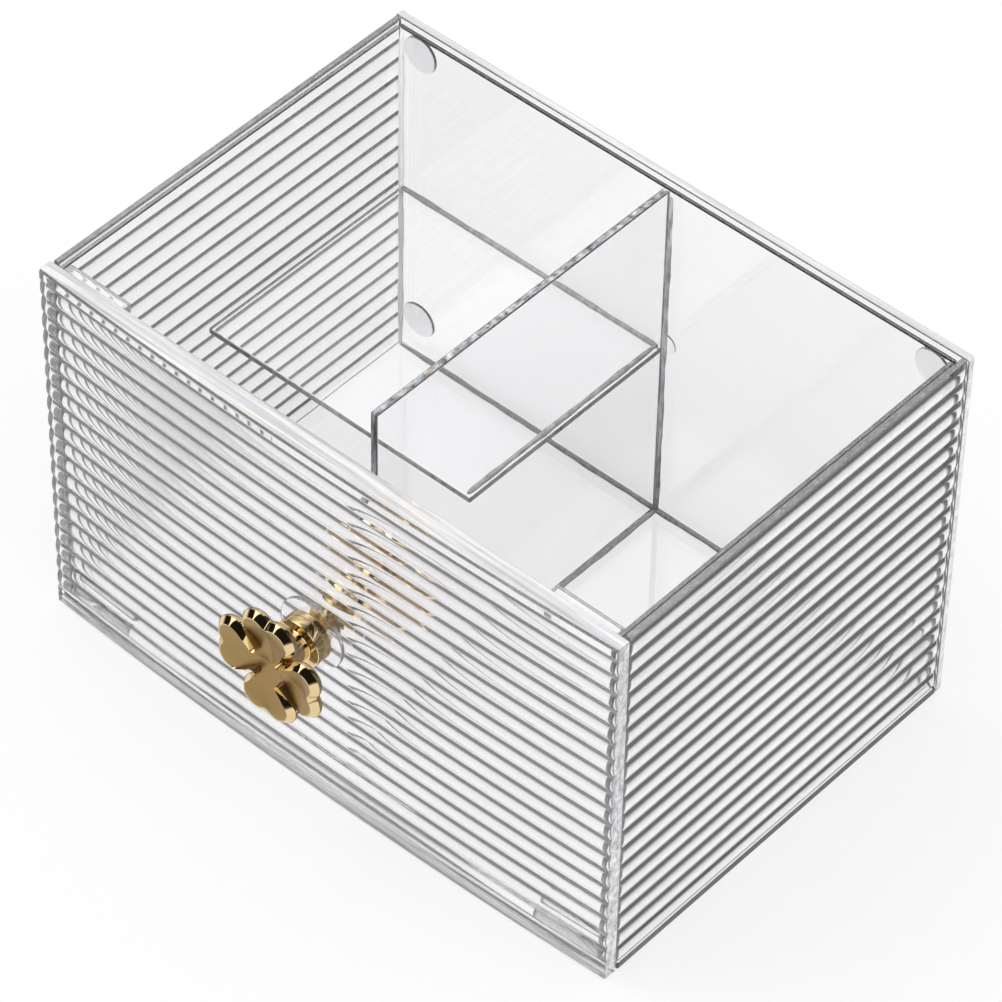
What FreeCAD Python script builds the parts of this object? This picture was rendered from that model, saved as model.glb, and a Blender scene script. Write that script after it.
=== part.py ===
import FreeCAD, Part
import math
import os

# Open-topped clear box with ribbed sides. A drawer with a bowed, ribbed front slides out of it towards -Y.
# Millimetres, +Z up, X across the front, +Y towards the back.
# The origin is the centre of the closed box on its underside, without the bow and the knob.

# Case
CASE_WIDTH = 150.0             # over the rib crests
CASE_DEPTH = 105.0             # from the ends of the drawer front to the back
CASE_HEIGHT = 95.0
BASE_THICKNESS = 2.0
BACK_THICKNESS = 2.0
SIDE_WEB = 1.4                 # side panel at the root of its ribs
SIDE_RIB_HEIGHT = 0.4
SIDE_RIB_COUNT = 19
BACK_EDGE_RADIUS = 0.6         # upright outer edges of the back panel

# Bumper pads on the inside of the back panel
PAD_RADIUS = 4.4
PAD_THICKNESS = 0.5
PAD_EDGE_RADIUS = 0.2
PAD_TO_SIDE = 1.6              # rim of a pad to the side panel
PAD_TO_TOP = 1.6               # rim of an upper pad to the top
PAD_TO_BASE = 6.6              # rim of a lower pad to the base panel

# Drawer tray
TRAY_WALL = 1.2
TRAY_FLOOR = 1.5
TRAY_BELOW_RIM = 0.4           # top of the tray below the rim of the case
DIVIDER_THICKNESS = 1.8
DIVIDER_X = 0.0
DIVIDER_TO_FRONT = 11.7
SHELF_THICKNESS = 1.6
SHELF_DEPTH = 58.2
SHELF_ABOVE_FLOOR = 45.1       # underside of the shelf to the floor of the tray
BLOCK_LENGTH = 16.5
BLOCK_DEPTH = 2.4
BLOCK_HEIGHT = 2.6
BOSS_RADIUS = 2.6              # round boss on the rear of the tray, behind the divider
BOSS_HEIGHT = 0.3
BOSS_ABOVE_SHELF = 1.2

# Drawer front
FRONT_END_THICKNESS = 3.4
FRONT_BOW = 2.0                # how far the middle stands before the ends
FRONT_RIB_HEIGHT = 0.5
FRONT_RIB_COUNT = 19
FRONT_TOP_MARGIN = 2.7         # plain band above the ribs
FRONT_LIP_HEIGHT = 2.9         # plain lip along the bottom
FRONT_BOTTOM_MARGIN = 1.3      # plain band between the lip and the ribs
LIP_GROOVE_DEPTH = 0.3
LIP_GROOVE_WIDTH = 0.5
FRONT_EDGE_RADIUS = 0.8        # upper outer edge

# Knob
CLOVER_THICKNESS = 3.0
CLOVER_EDGE = 1.1              # bevel round the face
CLOVER_BACK_EDGE = 1.0         # bevel round the rear
CLOVER_DISH_DEPTH = 2.0        # hollow in the face, at its centre
CLOVER_DISH_RADIUS = 11.0
LOBE_RADIUS = 4.2
LOBE_ALONG = 9.2               # centre of a lobe, along its leaf
LOBE_ASIDE = 2.7               # centre of a lobe, to each side of its leaf's middle line
NOTCH_RADIUS = 0.4             # rounding of the notch between the two lobes of a leaf
LEAF_GAP_TO_CENTRE = 4.4       # inner end of the gap between two leaves
LEAF_GAP_RADIUS = 0.5          # rounding of that end
LEAF_GAP_SHARE = 0.35          # share of a bevel's width by which that rounding grows
LEAF_COUNT = 4                 # a leaf and its gap take a quarter of the turn
STEM_LENGTH = 10.1
STEM_DRUM_LENGTH = 3.8         # wide part on the washer
STEM_DRUM_RADIUS = 5.6
STEM_DRUM_EDGE = 0.8           # rounding of the drum's front rim
STEM_NECK_RADIUS = 3.4
STEM_NECK_CURVE = 2.4          # hollow curve between the neck and the clover
WASHER_RADIUS = 8.2
WASHER_THICKNESS = 1.0
SCREW_RADIUS = 2.0
SCREW_IN_STEM = 7.0
SCREW_HEAD_RADIUS = 3.6
SCREW_HEAD_HEIGHT = 2.2
SCREW_SLOT_WIDTH = 0.9
SCREW_SLOT_DEPTH = 1.1

# Clearances
SLIDE_GAP = 0.3                # tray to the side panels and to the base panel
PAD_GAP = 0.1                  # closed tray to the pads
FRONT_GAP = 0.5                # drawer front to the front edges of the case
TABLE_GAP = 0.4                # drawer front above the table
SCREW_GAP = 0.05               # screw in the stem
HOLE_GAP = 0.2                 # screw in the drawer front and the washer

# Places that follow from the sizes above
HALF_WIDTH = CASE_WIDTH / 2
BACK_Y = CASE_DEPTH / 2
FRONT_END_Y = -CASE_DEPTH / 2
FRONT_CREST_Y = FRONT_END_Y - FRONT_BOW
FRONT_INNER_Y = FRONT_END_Y + FRONT_END_THICKNESS
CASE_FRONT_Y = FRONT_INNER_Y + FRONT_GAP
BACK_INNER_Y = BACK_Y - BACK_THICKNESS
SIDE_INNER_X = HALF_WIDTH - SIDE_WEB - SIDE_RIB_HEIGHT
TRAY_OUTER_X = SIDE_INNER_X - SLIDE_GAP
TRAY_INNER_X = TRAY_OUTER_X - TRAY_WALL
TRAY_BACK_Y = BACK_INNER_Y - PAD_THICKNESS - PAD_GAP
TRAY_BACK_INNER_Y = TRAY_BACK_Y - TRAY_WALL
TRAY_BOTTOM_Z = BASE_THICKNESS + SLIDE_GAP
FLOOR_Z = TRAY_BOTTOM_Z + TRAY_FLOOR
TRAY_TOP_Z = CASE_HEIGHT - TRAY_BELOW_RIM
SHELF_BOTTOM_Z = FLOOR_Z + SHELF_ABOVE_FLOOR
DIVIDER_LEFT_X = DIVIDER_X - DIVIDER_THICKNESS / 2
KNOB_Z = CASE_HEIGHT / 2
BOW_RADIUS = (HALF_WIDTH ** 2 + FRONT_BOW ** 2) / (2 * FRONT_BOW)
BOW_CENTRE_Y = FRONT_CREST_Y + BOW_RADIUS
WASHER_FRONT_Y = FRONT_CREST_Y - WASHER_THICKNESS
STEM_FRONT_Y = WASHER_FRONT_Y - STEM_LENGTH
CLOVER_FRONT_Y = STEM_FRONT_Y - CLOVER_THICKNESS

LOBE_CROWN_ANGLE = math.pi / 5   # a direction within every lobe's arc
CUT_SPARE = 1.0                  # how far a cut reaches past the faces that it goes through
SECTOR_SPARE = 0.2               # degrees that the front is turned past its cut ends
Z_AXIS = FreeCAD.Vector(0, 0, 1)
TOWARDS_FRONT = FreeCAD.Vector(0, -1, 0)


def box(low, high):
    """Block between two opposite corners."""
    size = [high[i] - low[i] for i in range(3)]
    return Part.makeBox(size[0], size[1], size[2], FreeCAD.Vector(*low))


def rod(radius, y_start, y_end, x=0.0, z=0.0):
    """Cylinder along Y from y_start forwards to y_end."""
    return Part.makeCylinder(radius, y_start - y_end, FreeCAD.Vector(x, y_start, z), TOWARDS_FRONT)


def rib_edges(root, crest, z_low, z_high, count, point):
    """Half-round ribs one above the other, as arcs between roots; point turns (out, z) into a vector."""
    pitch = (z_high - z_low) / count
    edges = []
    for i in range(count):
        z = z_low + i * pitch
        arc = Part.Arc(point(root, z), point(crest, z + pitch / 2), point(root, z + pitch))
        edges.append(arc.toShape())
    return edges


def line_edges(points):
    """Straight edges through the points in order."""
    return [Part.LineSegment(a, b).toShape() for a, b in zip(points, points[1:])]


# Case ------------------------------------------------------------------------------------------

def base_panel():
    return box((-HALF_WIDTH, CASE_FRONT_Y, 0), (HALF_WIDTH, BACK_INNER_Y, BASE_THICKNESS))


def side_panel(side):
    """Ribbed plate; side is -1 for the left one and 1 for the right one."""
    def point(out, z):
        return FreeCAD.Vector(side * out, CASE_FRONT_Y, z)

    root = SIDE_INNER_X + SIDE_WEB
    ribs = rib_edges(root, HALF_WIDTH, BASE_THICKNESS, CASE_HEIGHT, SIDE_RIB_COUNT, point)
    plain = line_edges([
        point(root, CASE_HEIGHT),
        point(SIDE_INNER_X, CASE_HEIGHT),
        point(SIDE_INNER_X, BASE_THICKNESS),
        point(root, BASE_THICKNESS),
    ])
    section = Part.Face(Part.Wire(ribs + plain))
    return section.extrude(FreeCAD.Vector(0, BACK_INNER_Y - CASE_FRONT_Y, 0))


def back_panel():
    panel = box((-HALF_WIDTH, BACK_INNER_Y, 0), (HALF_WIDTH, BACK_Y, CASE_HEIGHT))
    upright = [e for e in panel.Edges if is_upright(e) and e.CenterOfMass.y > BACK_Y - BACK_EDGE_RADIUS]
    return panel.makeFillet(min(BACK_EDGE_RADIUS, BACK_THICKNESS / 2), upright)


def is_upright(edge):
    return abs(edge.tangentAt(edge.FirstParameter).z) > 0.9


def bumper_pad(side, upper):
    """Round pad on the back panel; side is -1 or 1."""
    x = side * (SIDE_INNER_X - PAD_TO_SIDE - PAD_RADIUS)
    z = CASE_HEIGHT - PAD_TO_TOP - PAD_RADIUS if upper else BASE_THICKNESS + PAD_TO_BASE + PAD_RADIUS
    pad = rod(PAD_RADIUS, BACK_INNER_Y, BACK_INNER_Y - PAD_THICKNESS, x, z)
    rim = [e for e in pad.Edges if e.CenterOfMass.y < BACK_INNER_Y - PAD_THICKNESS / 2 and e.Closed]
    return pad.makeFillet(min(PAD_EDGE_RADIUS, PAD_THICKNESS / 2), rim)


# Drawer tray -----------------------------------------------------------------------------------

def tray_floor():
    return box((-TRAY_OUTER_X, FRONT_INNER_Y, TRAY_BOTTOM_Z), (TRAY_OUTER_X, TRAY_BACK_Y, FLOOR_Z))


def tray_side_wall(side):
    inner, outer = sorted((side * TRAY_INNER_X, side * TRAY_OUTER_X))
    return box((inner, FRONT_INNER_Y, FLOOR_Z), (outer, TRAY_BACK_INNER_Y, TRAY_TOP_Z))


def tray_back_wall():
    wall = box((-TRAY_OUTER_X, TRAY_BACK_INNER_Y, FLOOR_Z), (TRAY_OUTER_X, TRAY_BACK_Y, TRAY_TOP_Z))
    boss_z = SHELF_BOTTOM_Z + SHELF_THICKNESS + BOSS_ABOVE_SHELF
    boss_x = DIVIDER_X + DIVIDER_THICKNESS / 2
    boss = rod(BOSS_RADIUS, TRAY_BACK_Y + BOSS_HEIGHT, TRAY_BACK_INNER_Y, boss_x, boss_z)
    return wall.fuse(boss).removeSplitter()


def divider():
    return box(
        (DIVIDER_LEFT_X, FRONT_INNER_Y + DIVIDER_TO_FRONT, FLOOR_Z),
        (DIVIDER_LEFT_X + DIVIDER_THICKNESS, TRAY_BACK_INNER_Y, TRAY_TOP_Z),
    )


def shelf():
    return box(
        (-TRAY_INNER_X, TRAY_BACK_INNER_Y - SHELF_DEPTH, SHELF_BOTTOM_Z),
        (DIVIDER_LEFT_X, TRAY_BACK_INNER_Y, SHELF_BOTTOM_Z + SHELF_THICKNESS),
    )


def corner_block(side, upper):
    """Small block in a corner behind the drawer front, which it is glued to."""
    x_low, x_high = sorted((side * (TRAY_INNER_X - BLOCK_LENGTH), side * TRAY_INNER_X))
    z_low = TRAY_TOP_Z - BLOCK_HEIGHT if upper else FLOOR_Z
    return box((x_low, FRONT_INNER_Y, z_low), (x_high, FRONT_INNER_Y + BLOCK_DEPTH, z_low + BLOCK_HEIGHT))


# Drawer front ----------------------------------------------------------------------------------

def front_section():
    """Upright section of the drawer front; its outer line is BOW_RADIUS from the axis of the bow."""
    def point(out, z):
        return FreeCAD.Vector(0, BOW_CENTRE_Y - out, z)

    crest = BOW_RADIUS
    root = BOW_RADIUS - FRONT_RIB_HEIGHT
    inner = BOW_RADIUS - FRONT_BOW - 2 * FRONT_END_THICKNESS
    lip_top = TABLE_GAP + FRONT_LIP_HEIGHT
    groove_top = lip_top + LIP_GROOVE_WIDTH
    ribs_low = groove_top + FRONT_BOTTOM_MARGIN
    ribs_high = CASE_HEIGHT - FRONT_TOP_MARGIN
    below = line_edges([
        point(inner, TABLE_GAP),
        point(crest, TABLE_GAP),
        point(crest, lip_top),
        point(crest - LIP_GROOVE_DEPTH, lip_top + LIP_GROOVE_WIDTH / 2),
        point(crest, groove_top),
        point(crest, ribs_low),
        point(root, ribs_low),
    ])
    ribs = rib_edges(root, crest, ribs_low, ribs_high, FRONT_RIB_COUNT, point)
    rounding = FRONT_EDGE_RADIUS
    shoulder = CASE_HEIGHT - rounding
    middle = rounding * (1 - math.sqrt(0.5))
    corner = Part.Arc(
        point(crest, shoulder),
        point(crest - middle, CASE_HEIGHT - middle),
        point(crest - rounding, CASE_HEIGHT),
    )
    above = line_edges([point(root, ribs_high), point(crest, ribs_high), point(crest, shoulder)])
    top = line_edges([
        point(crest - rounding, CASE_HEIGHT),
        point(inner, CASE_HEIGHT),
        point(inner, TABLE_GAP),
    ])
    return Part.Face(Part.Wire(below + ribs + above + [corner.toShape()] + top))


def drawer_front():
    """The section turned about the axis of the bow, then cut off at the ends and flat behind."""
    axis_point = FreeCAD.Vector(0, BOW_CENTRE_Y, 0)
    narrowest = BOW_RADIUS - FRONT_BOW - 2 * FRONT_END_THICKNESS
    half_angle = math.degrees(math.asin(HALF_WIDTH / narrowest)) + SECTOR_SPARE
    section = front_section()
    section.rotate(axis_point, Z_AXIS, -half_angle)
    swept = section.revolve(axis_point, Z_AXIS, 2 * half_angle)
    before, above = FRONT_CREST_Y - CUT_SPARE, CASE_HEIGHT + CUT_SPARE
    keep = box((-HALF_WIDTH, before, 0), (HALF_WIDTH, FRONT_INNER_Y, above))
    hole = rod(SCREW_RADIUS + HOLE_GAP, FRONT_INNER_Y + CUT_SPARE, before, 0, KNOB_Z)
    return swept.common(keep).cut(hole)


# Knob ------------------------------------------------------------------------------------------

def leaf_edges(angle, inset, y):
    """Outline of one heart-shaped leaf and the gap after it, at height y along Y, moved inwards by inset."""
    lobe = LOBE_RADIUS - inset
    gap = LEAF_GAP_RADIUS + LEAF_GAP_SHARE * inset
    notch = NOTCH_RADIUS + inset
    gap_centre = (LEAF_GAP_TO_CENTRE + LEAF_GAP_RADIUS) * math.sqrt(0.5)
    along, aside = LOBE_ALONG - gap_centre, LOBE_ASIDE - gap_centre
    slope = math.atan2(aside, along) + math.asin((lobe + gap) / math.hypot(along, aside))
    normal = (-math.sin(slope), math.cos(slope))
    lobe_touch = (LOBE_ALONG + lobe * normal[0], LOBE_ASIDE + lobe * normal[1])
    gap_touch = (gap_centre - gap * normal[0], gap_centre - gap * normal[1])
    crown = (LOBE_ALONG + lobe * math.cos(LOBE_CROWN_ANGLE), LOBE_ASIDE + lobe * math.sin(LOBE_CROWN_ANGLE))
    notch_centre = LOBE_ALONG + math.sqrt((lobe + notch) ** 2 - LOBE_ASIDE ** 2)
    notch_touch = (
        LOBE_ALONG + (notch_centre - LOBE_ALONG) * lobe / (lobe + notch),
        LOBE_ASIDE * notch / (lobe + notch),
    )
    gap_end = (gap_centre - gap * math.sqrt(0.5), gap_centre - gap * math.sqrt(0.5))

    def place(p):
        """Vector of an (along, aside) point, turned by the leaf's angle."""
        x = p[0] * math.cos(angle) - p[1] * math.sin(angle)
        z = p[0] * math.sin(angle) + p[1] * math.cos(angle)
        return FreeCAD.Vector(x, y, KNOB_Z + z)

    def other_side(p):
        return (p[0], -p[1])

    def next_leaf(p):
        return (p[1], p[0])

    def line(start, end):
        return Part.LineSegment(place(start), place(end)).toShape()

    def arc(start, way, end):
        return Part.Arc(place(start), place(way), place(end)).toShape()

    return [
        line(other_side(gap_touch), other_side(lobe_touch)),
        arc(other_side(lobe_touch), other_side(crown), other_side(notch_touch)),
        arc(other_side(notch_touch), (notch_centre - notch, 0), notch_touch),
        arc(notch_touch, crown, lobe_touch),
        line(lobe_touch, gap_touch),
        arc(gap_touch, gap_end, next_leaf(gap_touch)),
    ]


def clover_outline(inset, y):
    edges = []
    for i in range(LEAF_COUNT):
        edges += leaf_edges(2 * math.pi * i / LEAF_COUNT, inset, y)
    return Part.Wire(edges)


def knob_clover():
    """Four-leaved plate with bevels, lofted through its outlines from rear to face, with a hollow face."""
    outlines = [
        clover_outline(CLOVER_BACK_EDGE, STEM_FRONT_Y),
        clover_outline(0, STEM_FRONT_Y - CLOVER_BACK_EDGE),
        clover_outline(0, CLOVER_FRONT_Y + CLOVER_EDGE),
        clover_outline(CLOVER_EDGE, CLOVER_FRONT_Y),
    ]
    plate = Part.makeLoft(outlines, True, True)
    ball_radius = (CLOVER_DISH_RADIUS ** 2 + CLOVER_DISH_DEPTH ** 2) / (2 * CLOVER_DISH_DEPTH)
    ball_centre = FreeCAD.Vector(0, CLOVER_FRONT_Y + CLOVER_DISH_DEPTH - ball_radius, KNOB_Z)
    return plate.cut(Part.makeSphere(ball_radius, ball_centre))


def knob_stem():
    """Round stem with a drum at the washer, a thinner neck and a blind hole for the screw."""
    def point(radius, along):
        return FreeCAD.Vector(radius, WASHER_FRONT_Y - along, KNOB_Z)

    def quarter(start, end, centre):
        """Quarter round between two (radius, along) points."""
        middle = [(start[i] + end[i]) / 2 - centre[i] for i in range(2)]
        scale = math.hypot(start[0] - centre[0], start[1] - centre[1]) / math.hypot(middle[0], middle[1])
        way = (centre[0] + middle[0] * scale, centre[1] + middle[1] * scale)
        return Part.Arc(point(*start), point(*way), point(*end)).toShape()

    edge, curve = STEM_DRUM_EDGE, STEM_NECK_CURVE
    drum, neck = STEM_DRUM_RADIUS, STEM_NECK_RADIUS
    rim = quarter(
        (drum, STEM_DRUM_LENGTH - edge),
        (drum - edge, STEM_DRUM_LENGTH),
        (drum - edge, STEM_DRUM_LENGTH - edge),
    )
    flare = quarter(
        (neck, STEM_LENGTH - curve),
        (neck + curve, STEM_LENGTH),
        (neck + curve, STEM_LENGTH - curve),
    )
    hole = SCREW_RADIUS + SCREW_GAP
    hole_depth = SCREW_IN_STEM + SCREW_GAP
    profile = line_edges([point(hole, 0), point(drum, 0), point(drum, STEM_DRUM_LENGTH - edge)])
    profile.append(rim)
    profile += line_edges([
        point(drum - edge, STEM_DRUM_LENGTH),
        point(neck, STEM_DRUM_LENGTH),
        point(neck, STEM_LENGTH - curve),
    ])
    profile.append(flare)
    profile += line_edges([
        point(neck + curve, STEM_LENGTH),
        point(0, STEM_LENGTH),
        point(0, hole_depth),
        point(hole, hole_depth),
        point(hole, 0),
    ])
    return Part.Face(Part.Wire(profile)).revolve(point(0, 0), TOWARDS_FRONT, 360)


def knob_washer():
    disc = rod(WASHER_RADIUS, FRONT_CREST_Y, WASHER_FRONT_Y, 0, KNOB_Z)
    return disc.cut(rod(SCREW_RADIUS + HOLE_GAP, FRONT_CREST_Y, WASHER_FRONT_Y, 0, KNOB_Z))


def knob_screw():
    """Pan-head screw put in from inside the tray."""
    head_back = FRONT_INNER_Y + SCREW_HEAD_HEIGHT
    head = rod(SCREW_HEAD_RADIUS, head_back, FRONT_INNER_Y, 0, KNOB_Z)
    shank = rod(SCREW_RADIUS, FRONT_INNER_Y, WASHER_FRONT_Y - SCREW_IN_STEM, 0, KNOB_Z)
    slot = box(
        (-SCREW_HEAD_RADIUS, head_back - SCREW_SLOT_DEPTH, KNOB_Z - SCREW_SLOT_WIDTH / 2),
        (SCREW_HEAD_RADIUS, head_back, KNOB_Z + SCREW_SLOT_WIDTH / 2),
    )
    return head.fuse(shank).removeSplitter().cut(slot)


# All pieces ------------------------------------------------------------------------------------

SIDES = {"left": -1, "right": 1}
LEVELS = {"lower": False, "upper": True}


def pieces():
    """Name and solid of every piece."""
    made = {
        "base_panel": base_panel(),
        "back_panel": back_panel(),
        "drawer_front": drawer_front(),
        "tray_floor": tray_floor(),
        "tray_back_wall": tray_back_wall(),
        "divider": divider(),
        "shelf": shelf(),
        "knob_clover": knob_clover(),
        "knob_stem": knob_stem(),
        "knob_washer": knob_washer(),
        "knob_screw": knob_screw(),
    }
    for side_name, side in SIDES.items():
        made[side_name + "_side_panel"] = side_panel(side)
        made["tray_" + side_name + "_wall"] = tray_side_wall(side)
        for level_name, upper in LEVELS.items():
            made["bumper_pad_" + level_name + "_" + side_name] = bumper_pad(side, upper)
            made["corner_block_" + level_name + "_" + side_name] = corner_block(side, upper)
    return made


os.makedirs("parts", exist_ok=True)
for name, solid in pieces().items():
    solid.exportStep("parts/" + name + ".step")
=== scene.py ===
import math

import bpy
import numpy as np
from bpy.props import FloatProperty, FloatVectorProperty, IntProperty, PointerProperty
from mathutils.geometry import delaunay_2d_cdt
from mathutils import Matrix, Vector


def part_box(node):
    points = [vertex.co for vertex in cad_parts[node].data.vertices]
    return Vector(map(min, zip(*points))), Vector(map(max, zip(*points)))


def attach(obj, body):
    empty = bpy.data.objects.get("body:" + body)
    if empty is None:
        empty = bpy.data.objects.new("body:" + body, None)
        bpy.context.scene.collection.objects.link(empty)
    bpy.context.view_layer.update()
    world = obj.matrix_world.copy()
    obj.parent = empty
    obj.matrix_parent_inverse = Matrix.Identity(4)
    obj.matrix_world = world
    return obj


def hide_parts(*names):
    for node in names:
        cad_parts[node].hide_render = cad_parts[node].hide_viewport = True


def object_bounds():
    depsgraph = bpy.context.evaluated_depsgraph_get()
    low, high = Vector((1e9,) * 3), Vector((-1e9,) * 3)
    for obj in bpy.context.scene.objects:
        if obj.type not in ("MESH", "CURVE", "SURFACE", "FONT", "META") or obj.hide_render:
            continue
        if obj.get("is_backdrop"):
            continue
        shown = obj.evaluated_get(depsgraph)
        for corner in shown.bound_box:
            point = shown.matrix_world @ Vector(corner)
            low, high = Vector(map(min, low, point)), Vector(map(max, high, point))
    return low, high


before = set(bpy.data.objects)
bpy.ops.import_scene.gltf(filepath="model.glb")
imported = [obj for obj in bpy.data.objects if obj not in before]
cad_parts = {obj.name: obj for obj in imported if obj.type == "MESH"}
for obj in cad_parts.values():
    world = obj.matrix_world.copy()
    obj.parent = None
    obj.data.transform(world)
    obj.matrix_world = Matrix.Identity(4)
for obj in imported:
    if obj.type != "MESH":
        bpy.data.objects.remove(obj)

bl_info = {
    "name": "Clear box with a knobbed drawer",
    "version": (1, 0, 0),
    "blender": (4, 5, 0),
    "location": "3D View > Sidebar > Clear box",
    "description": "Makes the panels, the drawer, the knob, the pads and the studio of a ribbed clear box",
    "category": "Object",
}

MM = 0.001
CASE, DRAWER = "case", "drawer"
LOADED_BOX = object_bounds()
AHEAD = np.array([0.0, -1.0, 0.0])      # out of the drawer front, along the knob's axis
STEPS_A_RIB = 40                        # points up the skin of one rib
DOUBLED = 1e-8                          # points nearer than this, in metres, are one
FLAT_SKIN = 1.0 * MM                    # skin at the drawer front's flat inner face that isn't bowed
BENT_SKIN = 1.6 * MM                    # next to it, the depth over which the bow comes in
CREASE_START = 0.8 * MM                 # way from the rim over which the clover's creases set in
WHITE = (1, 1, 1, 1)
SOFT_BOX = (1.7, 1.7, 1.7, 1)
FRONT_Y = -54 * MM                      # the floor is in front of the box from here on
DEEP_FACES, DEEP_MOST = 4.0, 5.0        # clear faces before the gain in the depth sets in, and its limit
CLEAR_FACES = 72                        # faces that light may pass or be mirrored by


# Sizes and finishes that a user would change ---------------------------------------------------

class PanelSettings(bpy.types.PropertyGroup):
    edge_rounding: FloatProperty(
        name="Edge rounding", description="Radius of the polished edges of the clear panels",
        default=0.35 * MM, min=0.05 * MM, max=1 * MM, unit="LENGTH")
    seam: FloatProperty(
        name="Seam", description="Film of air at each face of a clear panel where it meets the next one",
        default=0.03 * MM, min=0, max=0.2 * MM, unit="LENGTH")
    rib_count: IntProperty(
        name="Ribs",
        description="Number of ribs up a side panel and up the drawer front", default=19, min=1, max=60)
    side_rib_height: FloatProperty(
        name="Side rib height", description="How far a rib stands out of a side panel",
        default=0.4 * MM, min=0, max=1.5 * MM, unit="LENGTH")
    front_rib_height: FloatProperty(
        name="Front rib height", description="How far a rib stands out of its groove in the drawer front",
        default=0.5 * MM, min=0, max=1.5 * MM, unit="LENGTH")
    softness: FloatProperty(
        name="Softness", description="Rounding of the ribs' grooves and of the ribbed panels' edges",
        default=0.16 * MM, min=0.05 * MM, max=0.5 * MM, unit="LENGTH")
    bow: FloatProperty(
        name="Bow", description="How far the middle of the drawer front stands before its ends",
        default=2.0 * MM, min=0.2 * MM, max=8 * MM, unit="LENGTH")
    front_rounding: FloatProperty(
        name="Front rounding", description="Radius of the drawer front's upper outer edge",
        default=0.8 * MM, min=0.1 * MM, max=2 * MM, unit="LENGTH")
    front_rim: FloatProperty(
        name="Front rim",
        description="Softening of the drawer front's two ends and of its lower outer edge",
        default=0.3 * MM, min=0.05 * MM, max=1 * MM, unit="LENGTH")
    top_margin: FloatProperty(
        name="Top margin", description="Plain band above the ribs of the drawer front",
        default=2.7 * MM, min=0, unit="LENGTH")
    lip_height: FloatProperty(
        name="Lip height", description="Plain lip along the bottom of the drawer front",
        default=2.9 * MM, min=0, unit="LENGTH")
    lip_groove_width: FloatProperty(
        name="Lip groove width", description="Width of the fine groove over the lip",
        default=0.5 * MM, min=0, unit="LENGTH")
    lip_groove_depth: FloatProperty(
        name="Lip groove depth", description="Depth of the fine groove over the lip",
        default=0.3 * MM, min=0, unit="LENGTH")
    bottom_margin: FloatProperty(
        name="Bottom margin", description="Plain band between the lip's groove and the ribs",
        default=1.3 * MM, min=0, unit="LENGTH")


class TraySettings(bpy.types.PropertyGroup):
    boss_radius: FloatProperty(
        name="Boss radius", description="Radius of the round boss on the rear of the tray",
        default=2.6 * MM, min=0.5 * MM, unit="LENGTH")
    boss_height: FloatProperty(
        name="Boss height", description="How far the boss stands out of the tray",
        default=0.3 * MM, min=0.05 * MM, unit="LENGTH")
    boss_above_shelf: FloatProperty(
        name="Boss above shelf", description="Centre of the boss above the top of the shelf",
        default=1.2 * MM, unit="LENGTH")
    glue_radius: FloatProperty(
        name="Glue radius", description="Radius of the beads of clear glue in the tray's corners",
        default=0.55 * MM, min=0.1 * MM, unit="LENGTH")


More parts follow.
